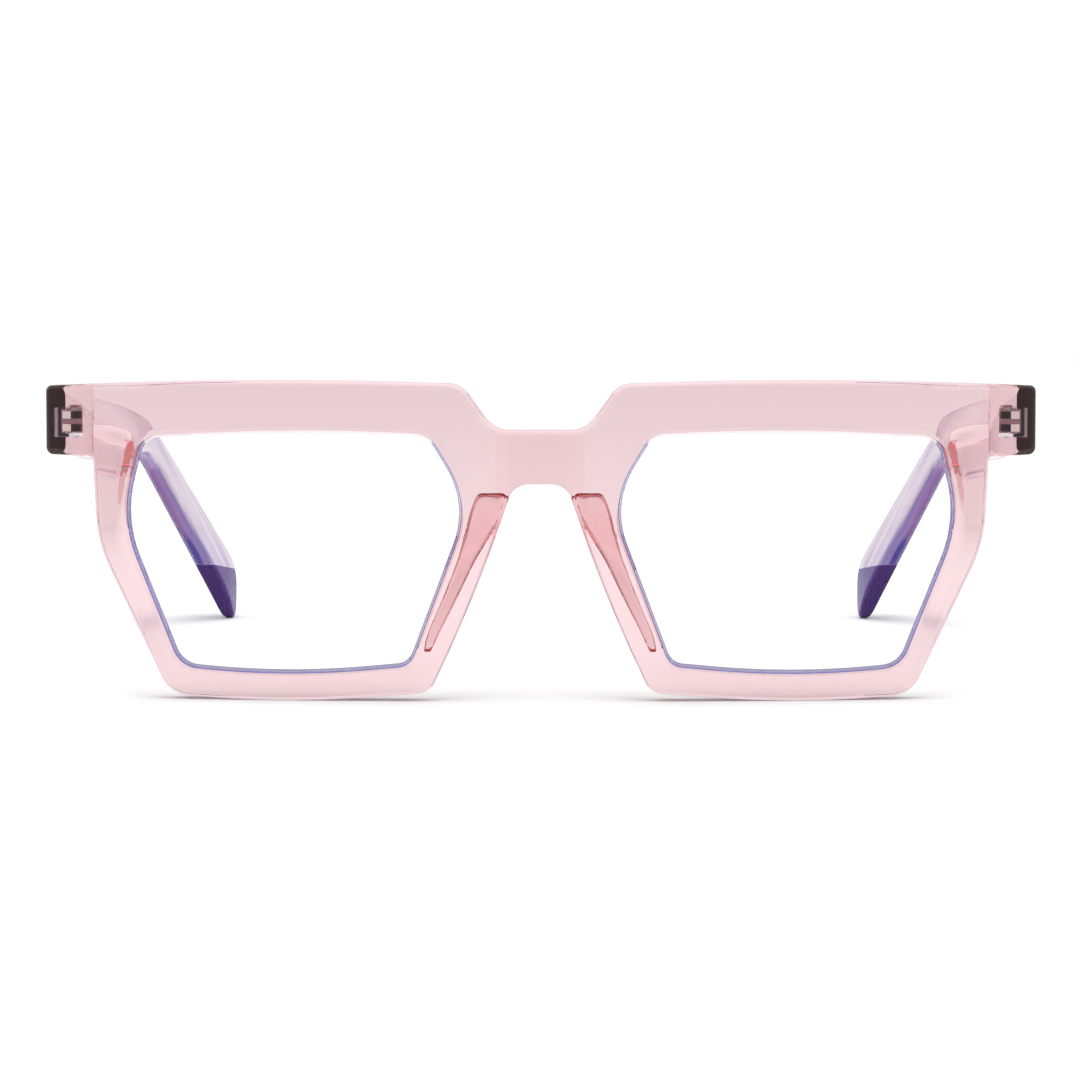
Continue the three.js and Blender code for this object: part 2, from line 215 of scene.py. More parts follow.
def as_object(bm, name):
    bmesh.ops.recalc_face_normals(bm, faces=bm.faces)
    mesh = bpy.data.meshes.new(name)
    bm.to_mesh(mesh)
    bm.free()
    made = bpy.data.objects.new(name, mesh)
    bpy.context.scene.collection.objects.link(made)
    return made


def combine(made, other, operation):
    """Cuts or joins one object by another, which is used up."""
    modifier = made.modifiers.new("combine", "BOOLEAN")
    modifier.operation = operation
    modifier.object = other
    modifier.solver = "EXACT"
    bake(made)
    bpy.data.objects.remove(other)


def bake(made):
    """Makes an object's modifiers part of its mesh."""
    graph = bpy.context.evaluated_depsgraph_get()
    mesh = bpy.data.meshes.new_from_object(made.evaluated_get(graph))
    made.modifiers.clear()
    made.data = mesh


def box_object(low, high):
    bm = bmesh.new()
    bmesh.ops.create_cube(bm, size=1)
    low, high = Vector(low), Vector(high)
    for vert in bm.verts:
        vert.co = Vector(low[k] if vert.co[k] < 0 else high[k] for k in range(3))
    return as_object(bm, "cutter")


def upright_prism(plan, low, high):
    """A prism from (x, y) points, between two heights."""
    bm = bmesh.new()
    rings = [ring(bm, [(x, y, z) for x, y in plan]) for z in (low, high)]
    wall(bm, rings)
    bm.faces.new(rings[0])
    bm.faces.new(rings[1])
    return as_object(bm, "cutter")


def slice_across(made, direction, places):
    """Adds vertices where planes across a direction pass, so that the mesh can bend there, and
    merges those that come out too close together."""
    bm = bmesh.new()
    bm.from_mesh(made.data)
    for place in places:
        bmesh.ops.bisect_plane(
            bm,
            geom=bm.verts[:] + bm.edges[:] + bm.faces[:],
            plane_co=direction * place,
            plane_no=direction,
            dist=ON_PLANE,
        )
    bmesh.ops.remove_doubles(bm, verts=bm.verts, dist=CLOSE)
    bmesh.ops.dissolve_degenerate(bm, edges=bm.edges, dist=CLOSE)
    bm.to_mesh(made.data)
    bm.free()


def steps_between(low, high, step):
    count = math.ceil((high - low) / step)
    return [low + (high - low) * k / count for k in range(count + 1)]


def reshape(made, move):
    """Moves each vertex to where a function says."""
    for vert in made.data.vertices:
        vert.co = move(vert.co.copy())


def mirror(made):
    made.data.transform(Matrix.Scale(-1, 4, Vector((1, 0, 0))))
    made.data.flip_normals()


def round_edges(made, radius, segments, wanted):
    """Rounds the convex edges that a test picks."""
    bm = bmesh.new()
    bm.from_mesh(made.data)
    edges = []
    for edge in bm.edges:
        if edge.is_manifold and edge.is_convex and edge.calc_face_angle() > ROUNDED_ABOVE:
            if wanted(edge):
                edges.append(edge)
    bmesh.ops.bevel(
        bm,
        geom=edges,
        offset=radius,
        segments=segments,
        profile=0.5,
        affect="EDGES",
        clamp_overlap=True,
    )
    bm.to_mesh(made.data)
    bm.free()


# ---- The front --------------------------------------------------------------------------------


SLAB_SPARE = 1.5  # how much deeper than the hinge blocks the slab starts
# Where the cutters end, clear of the front: past its ends, and in y and z.
CUTTERS = {"beside": 2, "back": 30, "low": -5, "high": 60}
BLOCK_STEP = 0.6  # the most between two points along the blocks' curved backs
UNDERCUT = 0.6  # how far inside the block's inner wall the cut under it starts
BACK_ROUND_SEGMENTS = 3
NEAR_BACK = 0.1  # how far in front of the rim's back still counts as at it
# Where planes slice the mesh so that it can bend, or take the saddle and the shoulders. A reach
# goes both ways from the middle, and the others are from, to and the most between two slices.
BEND_SLICE = 1.6
FRONT_REACH = 71
LENS_REACH = 62
SADDLE_SLICES = (-7, 7, 0.4)
SHOULDER_SLICES = (57, BLOCK_INNER - 0.3, 0.35)
UPRIGHT_SLICES = (18, 45, 0.9)


def back_of_block(x):
    """The flat front's depth at which the hinge block ends."""
    return BLOCK_BACK - bend_depth(x)


def front_slab():
    """The whole outline, rounded at its outer face, as deep as the hinge blocks, with both
    lens openings and the groove in each."""
    deepest = back_of_block(BLOCK_INNER) + SLAB_SPARE
    outside = quarter_round(FRONT_EDGE_ROUND) + [(0, deepest)]
    inside = quarter_round(FRONT_EDGE_ROUND) + [
        (0, GROOVE["from"]),
        (-GROOVE["depth"], GROOVE["deepest"]),
        (0, GROOVE["to"]),
        (0, deepest),
    ]
    bm = bmesh.new()
    front_edges, back_edges = [], []
    for side in (1, -1):
        rings = []
        for inset, depth in inside:
            points = rounded(LENS_CORNERS, inset)
            rings.append(ring(bm, [(side * p.x, depth, p.y) for p in points]))
        first, last = wall(bm, rings)
        front_edges += first
        back_edges += last
    outline = both_halves(FRONT_CORNERS)
    rings = []
    for inset, depth in outside:
        points = rounded(outline, -inset)
        rings.append(ring(bm, [(p.x, depth, p.y) for p in points]))
    first, last = wall(bm, rings)
    cap(bm, front_edges + first)
    cap(bm, back_edges + last)
    return as_object(bm, "front")


def swell(share):
    """A smooth step from 0 to 1."""
    share = min(1.0, max(0.0, share))
    return share * share * (3 - 2 * share)


def cut_back(front):
    """Takes away what is behind the rims and the bridge, and leaves the hinge blocks."""
    past = HALF_WIDTH + CUTTERS["beside"]
    back, low, high = CUTTERS["back"], CUTTERS["low"], CUTTERS["high"]
    half_plan = [(BLOCK_INNER - BLOCK_DRAFT, RIM_THICKNESS)]
    half_plan += [(x, back_of_block(x)) for x in steps_between(BLOCK_INNER, past, BLOCK_STEP)]
    half_plan.append((past, back))
    plan = half_plan + [(-x, y) for x, y in reversed(half_plan)]
    combine(front, upright_prism(plan, low, high), "DIFFERENCE")
    for side in (1, -1):
        near, far = sorted((side * (BLOCK_INNER - UNDERCUT), side * past))
        under = box_object((near, RIM_THICKNESS, low), (far, back, BLOCK_LOW))
        combine(front, under, "DIFFERENCE")


def cut_pockets(front):
    """The pockets that the hinges' front leaves sit in."""
    for side in (1, -1):
        near, far = sorted(side * x for x in POCKET["x"])
        low, high = POCKET["z"]
        cutter = box_object((near, POCKET["depth"], low), (far, POCKET["open_to"], high))
        combine(front, cutter, "DIFFERENCE")


# A nose pad from its foot up, as (z, x on the nose's side, x on the lens's side, height).
PAD_STATIONS = [
    (6.8, 15.6, 16.7, 1.8),
    (9.5, 14.4, 16.0, 3.0),
    (14.5, 11.9, 13.9, 4.2),
    (20.0, 9.2, 11.8, 4.9),
    (23.5, 7.1, 10.8, 4.7),
    (26.5, 5.6, 10.1, 3.8),
    (29.6, 4.5, 9.2, 2.2),
]
PAD_STEPS = 30
PAD_SECTION_STEPS = 20
PAD_SQUARENESS = 7
PAD_END_SQUARENESS = 7
SUNK = 0.4


def along_stations(stations, share):
    """A smooth curve through stations, at a share from 0 to 1 of the way."""
    place = share * (len(stations) - 1)
    first = min(int(place), len(stations) - 2)
    t = place - first
    picked = [min(max(first + k, 0), len(stations) - 1) for k in (-1, 0, 1, 2)]
    blended = []
    for a, b, c, d in zip(*(stations[k] for k in picked)):
        bend = t * (2 * a - 5 * b + 4 * c - d + t * (3 * b - a - 3 * c + d))
        blended.append(b + t * (c - a + bend) / 2)
    return blended


def fullness(across, squareness):
    """A squarish dome's height, for a place from -1 to 1 across it."""
    return (1 - abs(across) ** squareness) ** (1 / squareness)


def nose_pad(side):
    """A ridge with steep walls and a rounded top, sunk a little in the rim's back."""
    bm = bmesh.new()
    rings = []
    for k in range(1, PAD_STEPS):
        share = (1 - math.cos(math.pi * k / PAD_STEPS)) / 2
        z, near, far, height = along_stations(PAD_STATIONS, share)
        end = fullness(2 * share - 1, PAD_END_SQUARENESS)
        middle, half = (near + far) / 2, (far - near) / 2 * end
        section = [(middle + half, -SUNK), (middle - half, -SUNK)]
        for i in range(PAD_SECTION_STEPS + 1):
            across = -math.cos(math.pi * i / PAD_SECTION_STEPS)
            lift = height * end * fullness(across, PAD_SQUARENESS)
            section.append((middle + half * across, lift))
        rings.append(ring(bm, [(side * x, RIM_THICKNESS + lift, z) for x, lift in section]))
    for edges in wall(bm, rings):
        cap(bm, edges)
    return as_object(bm, "pad")


# The bridge's back stands proud between the sides of the nose gap.
SADDLE = {"half": 7.4, "slope": 3.2, "rise": 1.0}


def share_of_back(co):
    """1 at the rim's back face, falling to 0 a millimetre in front of it."""
    return swell(co.y - RIM_THICKNESS + 1)


def saddle(co):
    """Moves the bridge's back face out, and leaves its front face where it is."""
    share = swell((SADDLE["half"] - abs(co.x)) / SADDLE["slope"])
    co.y += SADDLE["rise"] * share * share_of_back(co)
    return co


# The rim's back is higher beside the hinge block, and falls to the lens opening in a steep slope.
SHOULDER = {"gap": 0.6, "width": 1.6, "height": 1.5, "foot": 18.0, "corner": 36.5, "fade": 7.0}
SHOULDER_SPREAD = 5.0  # how fast the slope widens above the opening's corner
# Points nearer the middle than this, or further behind the rim's back, are left where they are.
SHOULDER_LIMITS = {"x": 50, "above_back": 0.2}
SIDE_LIMITS = {"x": 52, "low": 8, "high": 37.4}  # the outline's points past these are its side
OPENING_SIDE = sorted(
    (point.y, point.x)
    for point in rounded(LENS_CORNERS)
    if point.x > SIDE_LIMITS["x"] and SIDE_LIMITS["low"] < point.y < SIDE_LIMITS["high"]
)


def opening_side(z):
    """The x of the lens opening's side next to the temple, at a height."""
    z = min(max(z, OPENING_SIDE[0][0]), OPENING_SIDE[-1][0])
    for (low, x_low), (high, x_high) in zip(OPENING_SIDE, OPENING_SIDE[1:]):
        if z <= high:
            return x_low + (x_high - x_low) * (z - low) / (high - low)
    return OPENING_SIDE[-1][1]


def shoulder(co):
    """Raises the rim's back face beside the hinge block."""
    if co.y > RIM_THICKNESS + SHOULDER_LIMITS["above_back"] or abs(co.x) < SHOULDER_LIMITS["x"]:
        return co
    above = max(0.0, co.z - SHOULDER["corner"])
    width = SHOULDER["width"] + SHOULDER_SPREAD * above
    out = abs(co.x) - opening_side(co.z) - SHOULDER["gap"]
    along = (co.z - SHOULDER["foot"]) / (SHOULDER["corner"] - SHOULDER["foot"])
    share = swell(out / width) * swell(along) * (1 - swell(above / SHOULDER["fade"]))
    co.y += SHOULDER["height"] * share * share_of_back(co)
    return co


def near_openings():
    """A function that tells whether a point of the flat front is at a lens opening's edge."""
    outline = rounded(LENS_CORNERS)
    tree = kdtree.KDTree(2 * len(outline))
    for index, point in enumerate(outline):
        tree.insert((point.x, point.y, 0), index)
        tree.insert((-point.x, point.y, 0), index)
    tree.balance()
    return lambda co: tree.find((co.x, co.z, 0))[2] < SPACING


SEAT_FROM = 0.4 * FRONT_EDGE_ROUND  # the depth, partway round the edge, where the wall starts
FACING_DOWN = -0.6  # a face whose normal's z is less than this faces down


def mark_seat_reflections(front):
    """Marks the walls of the lens openings for a painted blue reflection, which stands in for the
    coated lenses' edges seen in them, except where the walls face down."""
    at_opening = near_openings()
    seat_reflection = front.data.attributes.new("seat_reflection", "FLOAT", "FACE")
    for polygon in front.data.polygons:
        co = polygon.center
        inside = SEAT_FROM < co.y < GROOVE["deepest"]
        gets_painted_reflection = inside and at_opening(co) and polygon.normal.z > FACING_DOWN
        seat_reflection.data[polygon.index].value = float(gets_painted_reflection)


def bent(co):
    return Vector((co.x, co.y + bend_depth(co.x), co.z))


def at_back(edge):
    """Whether an edge is at the front's back, and not at a hinge block's inner wall."""
    return all(
        vert.co.y > RIM_THICKNESS - NEAR_BACK
        and abs(abs(vert.co.x) - BLOCK_INNER) > 2 * BLOCK_DRAFT
        for vert in edge.verts
    )


def build_front():
    front = front_slab()
    cut_back(front)
    round_edges(front, BACK_EDGE_ROUND, BACK_ROUND_SEGMENTS, at_back)
    cut_pockets(front)
    for side in (1, -1):
        combine(front, nose_pad(side), "UNION")
    sideways = Vector((1, 0, 0))
    slice_across(front, sideways, steps_between(-FRONT_REACH, FRONT_REACH, BEND_SLICE))
    slice_across(front, sideways, steps_between(*SADDLE_SLICES))
    for direction in (sideways, -sideways):
        slice_across(front, direction, steps_between(*SHOULDER_SLICES))
    slice_across(front, Vector((0, 0, 1)), steps_between(*UPRIGHT_SLICES))
    mark_seat_reflections(front)
    reshape(front, saddle)
    reshape(front, shoulder)
    reshape(front, bent)
    return front


def build_lens(side):
    gap, chamfer, room = LENS["gap"], LENS["chamfer"], TONGUE["room"]
    middle, height, half = GROOVE["deepest"], TONGUE["height"], TONGUE["point_half"]
    profile = [
        (-gap - chamfer, LENS["front"]),
        (-gap, LENS["front"] + chamfer),
        (-gap, GROOVE["from"] + room),
        (height - TONGUE["point_drop"], middle - half),
        (height, middle),
        (height - TONGUE["point_drop"], middle + half),
        (-gap, GROOVE["to"] - room),
        (-gap, LENS["back"] - chamfer),
        (-gap - chamfer, LENS["back"]),
    ]
    bm = bmesh.new()
    rings = []
    for offset, depth in profile:
        points = rounded(LENS_CORNERS, offset)
        rings.append(ring(bm, [(side * p.x, depth, p.y) for p in points]))
    for edges in wall(bm, rings):
        cap(bm, edges)
    lens = as_object(bm, "lens")
    slice_across(lens, Vector((1, 0, 0)), steps_between(-LENS_REACH, LENS_REACH, BEND_SLICE))
    reshape(lens, bent)
    return lens


# ---- The temples ------------------------------------------------------------------------------


def lean_at(place):
    """How far inwards the temple has gone, at a place down its drop."""
    past = max(0.0, place - LEAN_START)
    arc = LEAN_RADIUS * math.sin(LEAN_ANGLE)
    if past <= arc:
        return LEAN_RADIUS - math.sqrt(LEAN_RADIUS**2 - past**2)
    return LEAN_RADIUS * (1 - math.cos(LEAN_ANGLE)) + (past - arc) * math.tan(LEAN_ANGLE)


def thickness_at(y):
    share = min(1.0, max(0.0, (y - THINNING[0]) / (THINNING[1] - THINNING[0])))
    return BUTT_THICKNESS + (TEMPLE_THICKNESS - BUTT_THICKNESS) * share


def lean(co):
    """A point of the flat temple, where x is the depth from its outer face, in its place."""
    place = LEAN_DIRECTION.x * co.y + LEAN_DIRECTION.y * co.z
    tapering = max(0.0, place - TIP_TAPER["from"]) / (TIP_TAPER["to"] - TIP_TAPER["from"])
    depth = co.x * thickness_at(co.y) / TEMPLE_THICKNESS
    depth *= 1 - TIP_TAPER["share"] * tapering**2
    return Vector((HALF_WIDTH - depth - lean_at(place), co.y, co.z))


def whole_temple():
    rounding = quarter_round(TEMPLE_EDGE_ROUND)
    profile = rounding + [(inset, TEMPLE_THICKNESS - depth) for inset, depth in reversed(rounding)]
    bm = bmesh.new()
    rings = []
    for inset, depth in profile:
        points = rounded(TEMPLE_CORNERS, -inset)
        rings.append(ring(bm, [(depth, p.x, p.y) for p in points]))
    for edges in wall(bm, rings):
        cap(bm, edges)
    return as_object(bm, "temple")


def keep_side(made, point, normal):
    """Cuts off what is on a plane's normal side, and closes the cut."""
    bm = bmesh.new()
    bm.from_mesh(made.data)
    geom = bm.verts[:] + bm.edges[:] + bm.faces[:]
    cut = bmesh.ops.bisect_plane(
        bm, geom=geom, plane_co=point, plane_no=normal, clear_outer=True, dist=ON_PLANE
    )
    edges = [part for part in cut["geom_cut"] if isinstance(part, bmesh.types.BMEdge)]
    cap(bm, edges)
    bmesh.ops.recalc_face_normals(bm, faces=bm.faces)
    bm.to_mesh(made.data)
    bm.free()


DROP_START = Vector((112.0, 34.0))
DROP_DIRECTION = Vector((0.7, -0.7)).normalized()


def mark_grain(made):
    """Stores how far along, across and through the temple each vertex of the flat temple is."""
    grain = made.data.attributes.new("grain", "FLOAT_VECTOR", "POINT")
    for vert in made.data.vertices:
        past = Vector((vert.co.y, vert.co.z)) - DROP_START
        along, across = past.x, past.y
        if past.x > 0:
            along, across = past.dot(DROP_DIRECTION), past.dot(DROP_DIRECTION.orthogonal())
        grain.data[vert.index].vector = (along, across, vert.co.x / TEMPLE_THICKNESS)


LEAF_RECESS = {"depth": 2.25, "y": (TEMPLE_BUTT - 2, 22.9), "z": (37.8, 41.6)}


def leaf_recess():
    """What the hinge's leaf needs cut from the flat temple's inner face."""
    floor = LEAF_RECESS["depth"] * TEMPLE_THICKNESS / BUTT_THICKNESS
    (near, far), (low, high) = LEAF_RECESS["y"], LEAF_RECESS["z"]
    past_face = TEMPLE_THICKNESS + 1
    return box_object((floor, near, low), (past_face, far, high))


def build_temple_half(of_tip):
    """The see-through arm, or the solid tip, on the +X side."""
    made = whole_temple()
    normal = Vector((0, TIP_LINE["slope"], -1))
    if of_tip:
        normal.negate()
    else:
        keep_side(made, Vector((0, TEMPLE_BUTT, 0)), Vector((0, -1, 0)))
    keep_side(made, Vector((0, TIP_LINE["y"], TIP_LINE["z"])), normal)
    direction = Vector((0, LEAN_DIRECTION.x, LEAN_DIRECTION.y))
    slice_across(made, direction, steps_between(LEAN_START, TIP_TAPER["to"], LEAN_SLICE))
    slice_across(made, Vector((0, 1, 0)), steps_between(*ARM_SLICES))
    if not of_tip:
        combine(made, leaf_recess(), "DIFFERENCE")
    mark_grain(made)
    reshape(made, lean)
    return made


# ---- Placing ----------------------------------------------------------------------------------

front_low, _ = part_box("front_frame")
lowest = min(point.y for point in rounded(both_halves(FRONT_CORNERS)))
TO_FRAME = Matrix.Translation(Vector((0, front_low.y, front_low.z - lowest * MM)))
TO_FRAME = TO_FRAME @ Matrix.Scale(MM, 4)
LARGE_FACE_WEIGHT = 80  # how much large faces count in shading, out of 100


def give_material(made, material):
    made.data.materials.clear()
    made.data.materials.append(material)


def add_piece(made, name, body, slot, *nodes):
    """Names a piece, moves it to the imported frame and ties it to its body."""
    made.name = name
    made.data.name = name
    made.data.transform(TO_FRAME)
    for polygon in made.data.polygons:
        polygon.use_smooth = True
    weighted = made.modifiers.new("weighted", "WEIGHTED_NORMAL")
    weighted.mode = "FACE_AREA"
    weighted.weight = LARGE_FACE_WEIGHT
    weighted.keep_sharp = True
    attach(made, body)
    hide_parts(*nodes)
    return made


def sharpen(made, angle):
    """Marks edges as sharp where faces meet at more than an angle."""
    bm = bmesh.new()
    bm.from_mesh(made.data)
    for edge in bm.edges:
        if edge.is_manifold and edge.calc_face_angle() > angle:
            edge.smooth = False
    bm.to_mesh(made.data)
    bm.free()


# ---- Materials --------------------------------------------------------------------------------

MATHS = "ShaderNodeMath"
VECTOR_MATHS = "ShaderNodeVectorMath"
MOST_OF_NOISE = (0.3, 0.7)  # nearly all of a noise texture's values are between these


def new_material(name):
    material = bpy.data.materials.new(name)
    material.use_nodes = True
    tree = material.node_tree
    return material, tree, tree.nodes["Principled BSDF"], tree.nodes["Material Output"]


def connect(tree, value, socket):
    """Links one socket to another, or gives it a plain value."""
    if isinstance(value, bpy.types.NodeSocket):
        tree.links.new(value, socket)
    else:
        socket.default_value = value


def worked_out(tree, kind, operation, *values):
    """A maths node's output, from values that are sockets or plain numbers."""
    node = tree.nodes.new(kind)
    node.operation = operation
    for value, socket in zip(values, node.inputs):
        connect(tree, value, socket)
    gives_vector = kind == VECTOR_MATHS and operation != "LENGTH"
    return node.outputs["Vector" if gives_vector else "Value"]


def ranged(tree, source, before, after=(0, 1)):
    """Turns one range of values into another, and holds what is outside it at its ends."""
    node = tree.nodes.new("ShaderNodeMapRange")
    limits = zip(("From Min", "From Max", "To Min", "To Max"), (*before, *after))
    for name, value in limits:
        node.inputs[name].default_value = value
    tree.links.new(source, node.inputs["Value"])
    return node.outputs["Result"]


def parts_of(tree, vector):
    node = tree.nodes.new("ShaderNodeSeparateXYZ")
    tree.links.new(vector, node.inputs["Vector"])
    return node.outputs


def stored(tree, name):
    """The outputs of a node that reads a value stored on the mesh."""
    node = tree.nodes.new("ShaderNodeAttribute")
    node.attribute_name = name
    return node.outputs


def noise(tree, scale, detail=4.0, vector=None):
    """Noise from 0 to 1, in the object's own space unless a vector is given."""
    if vector is None:
        vector = tree.nodes.new("ShaderNodeTexCoord").outputs["Object"]
    texture = tree.nodes.new("ShaderNodeTexNoise")
    texture.inputs["Scale"].default_value = scale
    texture.inputs["Detail"].default_value = detail
    tree.links.new(vector, texture.inputs["Vector"])
    return texture.outputs["Fac"]


def colour_ramp(tree, source, stops):
    """A value's colour, from (position, colour) stops, the first at 0 and the last at 1."""
    ramp = tree.nodes.new("ShaderNodeValToRGB")
    elements = ramp.color_ramp.elements
    for element, (_, colour) in zip(elements, (stops[0], stops[-1])):
        element.color = (*colour, 1)
    for position, colour in stops[1:-1]:
        elements.new(position).color = (*colour, 1)
    tree.links.new(source, ramp.inputs["Fac"])
    return ramp.outputs["Color"]


def mix_colours(tree, factor, one, other):
    """Mixes two colours, each one a socket or an RGB tuple."""
    node = tree.nodes.new("ShaderNodeMix")
    node.data_type = "RGBA"
    tree.links.new(factor, node.inputs["Factor"])
    for name, colour in (("A", one), ("B", other)):
        connect(tree, (*colour, 1) if isinstance(colour, tuple) else colour, node.inputs[name])
    return node.outputs["Result"]


def roughen(tree, principled, texture, limits):
    """Lets the roughness vary between two limits with a noise texture."""
    tree.links.new(ranged(tree, texture, MOST_OF_NOISE, limits), principled.inputs["Roughness"])


# How each plastic shines. Its wear is a noise texture's scale, per metre.
FRONT_FINISH = {"ior": 1.49, "specular": 0.5, "roughness": (0.005, 0.03), "wear": 900}
ARM_FINISH = {"ior": 1.2, "specular": 0.2, "roughness": (0.15, 0.18), "wear": 700}
TIP_FINISH = {"ior": 1.12, "specular": 0.15, "roughness": (0.21, 0.23), "wear": 700}
LENS_FINISH = {"ior": 1.25, "specular": 0.5, "roughness": (0, 0.006), "wear": 60}


def polish(tree, principled, finish, detail=4.0):
    roughen(tree, principled, noise(tree, finish["wear"], detail), finish["roughness"])
    principled.inputs["IOR"].default_value = finish["ior"]
    principled.inputs["Specular IOR Level"].default_value = finish["specular"]


ABSORBED = (0.018, 0.085, 0.083)  # how strongly each millimetre absorbs red, green and blue
ABSORPTION_DENSITY = 250.0
SURFACE_TINT = (0.885, 0.90, 0.93)
# painted reflection: the lens seats' blue, standing in for the coated lenses' edges seen in them,
# and how much light gets through there
SEAT_PAINTED_REFLECTION = (0.11, 0.10, 0.48)
SEAT_TRANSMISSION = 0.4


def clear_acetate():
    """See-through pink acetate, whose colour comes from how far light goes through it. The lens
    seats are given a painted blue reflection, which stands in for the coated lenses' edges seen in
    them."""
    material, tree, principled, output = new_material("pink_acetate")
    polish(tree, principled, FRONT_FINISH)
    volume = tree.nodes.new("ShaderNodeVolumeAbsorption")
    volume.inputs["Density"].default_value = ABSORPTION_DENSITY
    kept = [1 - share / MM / ABSORPTION_DENSITY for share in ABSORBED]
    volume.inputs["Color"].default_value = (*kept, 1)
    tree.links.new(volume.outputs["Volume"], output.inputs["Volume"])
    # the painted blue reflection on the lens seats
    seat_reflection = stored(tree, "seat_reflection")["Fac"]
    colour = mix_colours(tree, seat_reflection, SURFACE_TINT, SEAT_PAINTED_REFLECTION)
    tree.links.new(colour, principled.inputs["Base Color"])
    clear = ranged(tree, seat_reflection, (0, 1), (1, SEAT_TRANSMISSION))
    tree.links.new(clear, principled.inputs["Transmission Weight"])
    return material


# The temple's colour from its outer face (0) to its inner face (1).
TEMPLE_LAYERS = [
    (0.0, (0.08, 0.045, 0.22)),
    (0.22, (0.19, 0.09, 0.28)),
    (0.55, (0.33, 0.19, 0.41)),
    (0.74, (0.22, 0.18, 0.43)),
    (0.92, (0.53, 0.43, 0.57)),
    (1.0, (0.62, 0.52, 0.61)),
]
STREAKS = {"scale": (0.035, 0.45, 1.6), "detail": 3, "shift": (-0.16, 0.16)}  # in the grain's axes
DEEPER_TO_TIP = (0.0, 34.0)  # along the temple, where the layers shift towards the deeper colours
DEEPER_SHIFT = -0.03
PALE_LILAC = (0.83, 0.76, 0.82)
PALE_TO_DEEP = (-60.0, -22.0)  # along the temple, where the pale acetate starts and ends fading
PALE_CLEARNESS = 0.3
DEEP_CLEARNESS = 0.12
BUTT_COLOUR = (0.045, 0.012, 0.03)
BUTT_DARK_ENDS = (0.15, 0.4)  # how far from the butt end its dark face, which lets no light through, gives way to the temple's colours

WIRE_END = (26.5, 0.0, 0.36)  # in the grain's axes
WIRE_SHADOW_SIZE = (6.5, 40.0, 0.24)
WIRE_SHADOW_EDGE = (1.0, 0.5)  # the shares of its size where it starts and where it is full
WIRE_COLOUR = (0.06, 0.05, 0.26)


def wire_shadow(tree, grain):
    """1 where the core wire's end shows through the acetate, and 0 away from it."""
    centred = worked_out(tree, VECTOR_MATHS, "SUBTRACT", grain, WIRE_END)
    scaled = worked_out(tree, VECTOR_MATHS, "DIVIDE", centred, WIRE_SHADOW_SIZE)
    return ranged(tree, worked_out(tree, VECTOR_MATHS, "LENGTH", scaled), WIRE_SHADOW_EDGE)


def temple_layers(tree, grain, parts):
    """The colour of each layer, with streaks along the temple."""
    stretched = worked_out(tree, VECTOR_MATHS, "MULTIPLY", grain, STREAKS["scale"])
    streaks = noise(tree, 1, STREAKS["detail"], stretched)
    to_tip = ranged(tree, parts["X"], DEEPER_TO_TIP)
    sinking = worked_out(tree, MATHS, "MULTIPLY_ADD", to_tip, DEEPER_SHIFT, parts["Z"])
    wavy = ranged(tree, streaks, MOST_OF_NOISE, STREAKS["shift"])
    shifted = worked_out(tree, MATHS, "ADD", sinking, wavy)
    return colour_ramp(tree, shifted, TEMPLE_LAYERS)


def layered_acetate():
    """Milky lilac acetate in thin layers, with violet streaks that run along the temple. Its butt
    end, which sits against the front, is dark and lets no light through."""
    material, tree, principled, _ = new_material("lilac_acetate")
    polish(tree, principled, ARM_FINISH)
    grain = stored(tree, "grain")["Vector"]
    parts = parts_of(tree, grain)
    layers = temple_layers(tree, grain, parts)
    shaded = mix_colours(tree, wire_shadow(tree, grain), layers, WIRE_COLOUR)
    deeper = ranged(tree, parts["X"], PALE_TO_DEEP)
    fading = mix_colours(tree, deeper, PALE_LILAC, shaded)
    butt = TEMPLE_BUTT - DROP_START.x
    past_butt_end = ranged(tree, parts["X"], [butt + start for start in BUTT_DARK_ENDS])
    colour = mix_colours(tree, past_butt_end, BUTT_COLOUR, fading)
    tree.links.new(colour, principled.inputs["Base Color"])
    clearness = ranged(tree, deeper, (0, 1), (PALE_CLEARNESS, DEEP_CLEARNESS))
    clear = worked_out(tree, MATHS, "MULTIPLY", past_butt_end, clearness)
    tree.links.new(clear, principled.inputs["Transmission Weight"])
    return material


COATING_TINT = (0.5, 0.6, 1)
SMEAR_DETAIL = 2


def lens_resin():
    """Clear resin whose coating lets most light through and reflects a little blue."""
    material, tree, principled, _ = new_material("coated_lens")
    polish(tree, principled, LENS_FINISH, SMEAR_DETAIL)
    principled.inputs["Base Color"].default_value = (1, 1, 1, 1)
    principled.inputs["Transmission Weight"].default_value = 1
    principled.inputs["Specular Tint"].default_value = (*COATING_TINT, 1)
    return material


SWIRL = {"scale": 120, "dark": (0.04, 0.011, 0.095), "light": (0.055, 0.018, 0.12)}
# painted light: the tip's inner face is painted lighter, as if lit; where this starts and where it
# is full, and its colour
TIP_INNER_PAINTED_LIGHT = {"from": (0.82, 1.0), "colour": (0.09, 0.045, 0.20)}  # in the grain's axes


def solid_acetate():
    """Opaque purple acetate with a faint swirl, and painted light on the inner face, which is
    painted lighter as if lit.
    """
    material, tree, principled, _ = new_material("purple_acetate")
    polish(tree, principled, TIP_FINISH)
    parts = parts_of(tree, stored(tree, "grain")["Vector"])
    dark = mix_colours(tree, noise(tree, SWIRL["scale"]), SWIRL["dark"], SWIRL["light"])
    lit_inner_face = ranged(tree, parts["Z"], TIP_INNER_PAINTED_LIGHT["from"])
    colour = mix_colours(tree, lit_inner_face, dark, TIP_INNER_PAINTED_LIGHT["colour"])
    tree.links.new(colour, principled.inputs["Base Color"])
    return material


METAL_GRAIN = {"scale": 1500, "darkest": 0.85, "bump_m": 0.00001, "bump_strength": 0.3}


